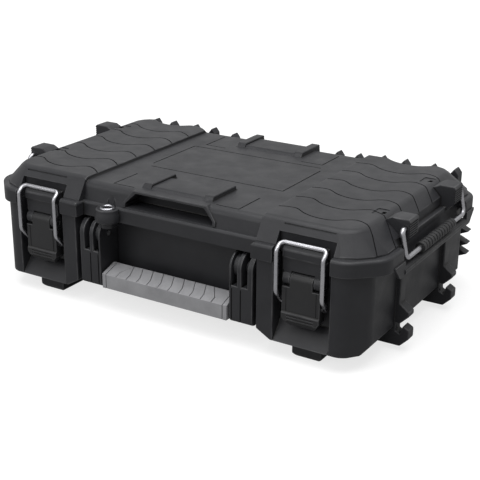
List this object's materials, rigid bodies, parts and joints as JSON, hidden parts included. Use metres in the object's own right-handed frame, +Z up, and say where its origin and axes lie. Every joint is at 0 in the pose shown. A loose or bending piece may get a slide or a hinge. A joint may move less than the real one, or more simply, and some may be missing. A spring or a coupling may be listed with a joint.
{
  "type": "tool case",
  "caption": "Wide low hard plastic tool case with a hinged ribbed lid, wire draw latches, a swing-out front handle and wire bails on its sides.",
  "frame": {"origin": "on the ground under the middle of the case", "axes": "+Z up, +X to the case's right seen from the front, -Y out of the front with the handle"},
  "size_m": [0.5672, 0.3521, 0.1655],
  "materials": {
    "shell_plastic": "fine moulded grain, satin black",
    "latch_plastic": "fine moulded grain, satin black",
    "grip_plastic": "soft-touch grey",
    "sleeve_rubber": "matt ribbed",
    "seal_rubber": "matt",
    "bright_steel": "bright zinc plated",
    "pin_steel": "plain drawn bar"
  },
  "bodies": {
    "base": {"base_shell": "shell_plastic", "left_hinge_pin": "pin_steel", "right_hinge_pin": "pin_steel", "left_latch_pin": "pin_steel", "right_latch_pin": "pin_steel", "left_handle_pin": "pin_steel", "right_handle_pin": "pin_steel", "base_padlock_eyelet": "bright_steel"},
    "lid": {"lid_shell": "shell_plastic", "lid_seal": "seal_rubber", "lid_padlock_eyelet": "bright_steel"},
    "handle": {"handle_frame": "shell_plastic", "handle_grip": "grip_plastic"},
    "left_lever": {"left_latch_lever": "latch_plastic"},
    "right_lever": {"right_latch_lever": "latch_plastic"},
    "left_latch_wire": {"left_latch_bail": "bright_steel"},
    "right_latch_wire": {"right_latch_bail": "bright_steel"},
    "left_bail": {"left_side_bail": "bright_steel", "left_bail_sleeve": "sleeve_rubber"},
    "right_bail": {"right_side_bail": "bright_steel", "right_bail_sleeve": "sleeve_rubber"}
  },
  "joints": [
    {"name": "lid_hinge", "type": "hinge", "parent": "base", "child": "lid", "pos_m": [0, 0.1686, 0.126], "axis": [-1, 0, 0], "range_deg": [0, 105]},
    {"name": "carry_handle_hinge", "type": "hinge", "parent": "base", "child": "handle", "pos_m": [0, -0.1485, 0.097], "axis": [-1, 0, 0], "range_deg": [0, 90]},
    {"name": "left_lever_hinge", "type": "hinge", "parent": "base", "child": "left_lever", "pos_m": [-0.188, -0.16, 0.101], "axis": [-1, 0, 0], "range_deg": [0, 95]},
    {"name": "right_lever_hinge", "type": "hinge", "parent": "base", "child": "right_lever", "pos_m": [0.188, -0.16, 0.101], "axis": [-1, 0, 0], "range_deg": [0, 95]},
    {"name": "left_latch_wire_hinge", "type": "hinge", "parent": "left_lever", "child": "left_latch_wire", "pos_m": [-0.188, -0.1595, 0.071], "axis": [1, 0, 0], "range_deg": [0, 190]},
    {"name": "right_latch_wire_hinge", "type": "hinge", "parent": "right_lever", "child": "right_latch_wire", "pos_m": [0.188, -0.1595, 0.071], "axis": [1, 0, 0], "range_deg": [0, 190]},
    {"name": "left_bail_hinge", "type": "hinge", "parent": "lid", "child": "left_bail", "pos_m": [-0.2706, 0, 0.1543], "axis": [0, 1, 0], "range_deg": [0, 170]},
    {"name": "right_bail_hinge", "type": "hinge", "parent": "lid", "child": "right_bail", "pos_m": [0.2706, 0, 0.1543], "axis": [0, -1, 0], "range_deg": [0, 170]}
  ],
  "couplings": [
    {"joint": "left_latch_wire_hinge", "follows": "left_lever_hinge", "ratio": 2},
    {"joint": "right_latch_wire_hinge", "follows": "right_lever_hinge", "ratio": 2}
  ]
}
